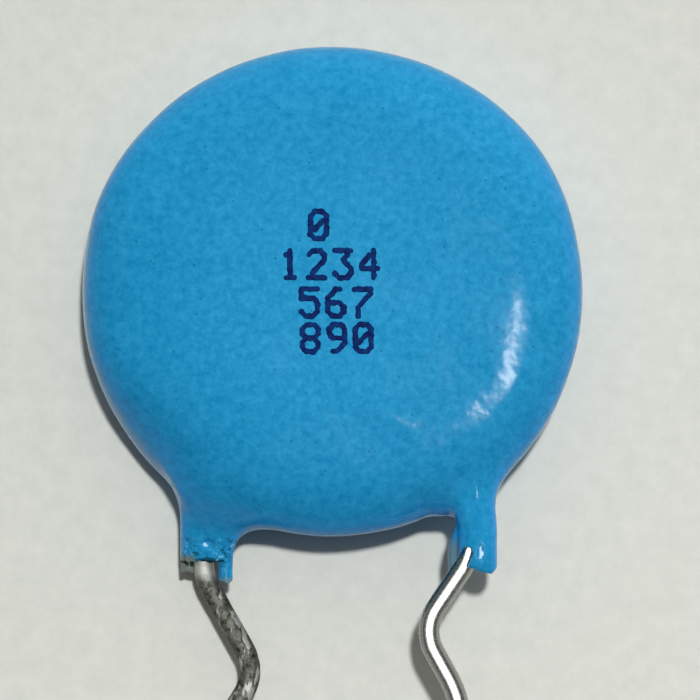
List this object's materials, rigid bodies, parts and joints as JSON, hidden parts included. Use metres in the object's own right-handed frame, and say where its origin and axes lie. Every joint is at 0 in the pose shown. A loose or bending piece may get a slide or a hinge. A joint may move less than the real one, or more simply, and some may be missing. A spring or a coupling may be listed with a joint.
{
  "type": "ceramic disc capacitor",
  "caption": "Radial ceramic disc capacitor in a blue epoxy dip coat, with inward-kinked tinned wire leads that stop it at its seating height on a board.",
  "frame": {"origin": "Midway between the two lead feet at the seating level, just below the kinks, and on the middle plane of the ceramic.", "axes": "+Z is the normal of the front face, which carries the marking. +Y runs from the feet to the disc. +X is to the right when the front face is seen with the leads down. The part lies on its rear face."},
  "size_m": [0.014, 0.0329, 0.0034],
  "materials": {
    "epoxy": "glossy blue dip coat with a faint mottle",
    "ceramic": "matte fired ceramic",
    "silver": "matte fired silver",
    "solder": "dull solder",
    "tinned_wire": "bright tinned wire with dark nicks"
  },
  "bodies": {
    "root": {"epoxy_coating": "epoxy", "ceramic_disc": "ceramic", "front_electrode": "silver", "rear_electrode": "silver", "front_solder": "solder", "rear_solder": "solder", "front_lead": "tinned_wire", "rear_lead": "tinned_wire"}
  },
  "joints": []
}
